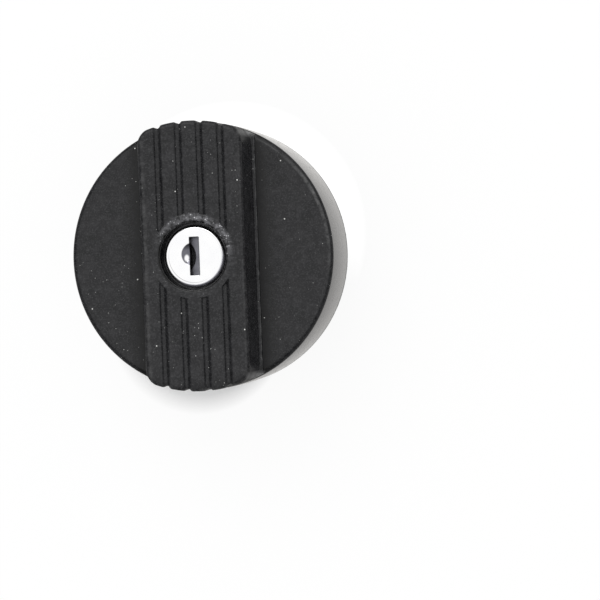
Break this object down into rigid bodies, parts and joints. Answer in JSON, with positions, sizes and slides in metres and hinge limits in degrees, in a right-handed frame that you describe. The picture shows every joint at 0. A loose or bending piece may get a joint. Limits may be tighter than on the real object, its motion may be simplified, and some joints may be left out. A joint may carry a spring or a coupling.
{
  "type": "locking fuel filler cap",
  "caption": "Round black filler cap with a ribbed grip bar, a key lock with a bright face, a bayonet plug with a gasket and a hidden pressure and vacuum valve.",
  "frame": {"origin": "on the cap's axis, in the plane where the gasket's lower face meets the rim of the filler neck", "axes": "+Z along the axis out of the neck, towards the grip bar and lock face; +Y along the grip bar and the key slot; +X across the bar, towards the locking bolt"},
  "size_m": [0.0772, 0.077, 0.0512],
  "materials": {
    "handle_plastic": "fine-grained moulded black plastic with dust and light scuffs",
    "plug_plastic": "smooth moulded black plastic",
    "gasket_rubber": "soft black rubber",
    "die_cast_zinc": "die-cast zinc",
    "zinc_steel": "zinc-plated steel",
    "spring_steel": "drawn spring steel",
    "shutter_steel": "dull pressed steel",
    "chrome_face": "bright polished plating",
    "brass": "stamped brass"
  },
  "bodies": {
    "plug": {"bayonet_plug": "plug_plastic", "neck_gasket": "gasket_rubber", "valve_cover": "plug_plastic", "pressure_spring": "spring_steel"},
    "handle": {"handle_shell": "handle_plastic", "retaining_ring": "plug_plastic", "ring_screws": "zinc_steel", "lock_housing": "die_cast_zinc", "housing_screws": "zinc_steel", "drum_lid": "zinc_steel", "drum_lid_screws": "zinc_steel"},
    "key_barrel": {"lock_barrel": "die_cast_zinc", "lock_face_cap": "chrome_face", "cam_disc": "zinc_steel", "barrel_circlip": "spring_steel", "shutter_pin": "spring_steel", "shutter_spring": "spring_steel", "wafer_spring_1": "spring_steel", "wafer_spring_2": "spring_steel", "wafer_spring_3": "spring_steel", "wafer_spring_4": "spring_steel", "wafer_spring_5": "spring_steel"},
    "bolt": {"locking_bolt": "zinc_steel"},
    "shutter": {"keyway_shutter": "shutter_steel"},
    "pressure_valve": {"pressure_valve_plate": "zinc_steel", "pressure_valve_seal": "gasket_rubber", "vacuum_spring": "spring_steel"},
    "vacuum_valve": {"vacuum_poppet": "plug_plastic", "vacuum_keeper": "spring_steel"},
    "wafer_1": {"wafer_1": "brass"},
    "wafer_2": {"wafer_2": "brass"},
    "wafer_3": {"wafer_3": "brass"},
    "wafer_4": {"wafer_4": "brass"},
    "wafer_5": {"wafer_5": "brass"}
  },
  "joints": [
    {"name": "handle_turn", "type": "hinge", "parent": "plug", "child": "handle", "pos_m": [0, 0, 0], "axis": [0, 0, 1], "continuous": true},
    {"name": "key_turn", "type": "hinge", "parent": "handle", "child": "key_barrel", "pos_m": [0, 0, 0.024], "axis": [0, 0, -1], "range_deg": [0, 90]},
    {"name": "bolt_slide", "type": "slide", "parent": "handle", "child": "bolt", "axis": [1, 0, 0], "range_m": [0, 0.003]},
    {"name": "shutter_swing", "type": "hinge", "parent": "key_barrel", "child": "shutter", "pos_m": [0.0023, 0, 0.022], "axis": [0, -1, 0], "range_deg": [0, 90], "stiffness_Nm_per_rad": 0.0004, "springref_deg": -22.92},
    {"name": "wafer_1_slide", "type": "slide", "parent": "key_barrel", "child": "wafer_1", "axis": [0, 1, 0], "range_m": [0, 0.0006], "stiffness_N_per_m": 150, "deforming": ["wafer_spring_1"]},
    {"name": "wafer_2_slide", "type": "slide", "parent": "key_barrel", "child": "wafer_2", "axis": [0, 1, 0], "range_m": [0, 0.0006], "stiffness_N_per_m": 150, "deforming": ["wafer_spring_2"]},
    {"name": "wafer_3_slide", "type": "slide", "parent": "key_barrel", "child": "wafer_3", "axis": [0, 1, 0], "range_m": [0, 0.0006], "stiffness_N_per_m": 150, "deforming": ["wafer_spring_3"]},
    {"name": "wafer_4_slide", "type": "slide", "parent": "key_barrel", "child": "wafer_4", "axis": [0, 1, 0], "range_m": [0, 0.0006], "stiffness_N_per_m": 150, "deforming": ["wafer_spring_4"]},
    {"name": "wafer_5_slide", "type": "slide", "parent": "key_barrel", "child": "wafer_5", "axis": [0, 1, 0], "range_m": [0, 0.0006], "stiffness_N_per_m": 150, "deforming": ["wafer_spring_5"]},
    {"name": "pressure_valve_lift", "type": "slide", "parent": "plug", "child": "pressure_valve", "axis": [0, 0, 1], "range_m": [0, 0.0015], "stiffness_N_per_m": 500, "springref_m": -0.002, "deforming": ["pressure_spring"]},
    {"name": "vacuum_valve_drop", "type": "slide", "parent": "pressure_valve", "child": "vacuum_valve", "axis": [0, 0, -1], "range_m": [0, 0.0012], "stiffness_N_per_m": 80, "springref_m": -0.0015, "deforming": ["vacuum_spring"]}
  ],
  "couplings": [
    {"joint": "bolt_slide", "follows": "key_turn", "m_per_rad": 0.0019098}
  ]
}
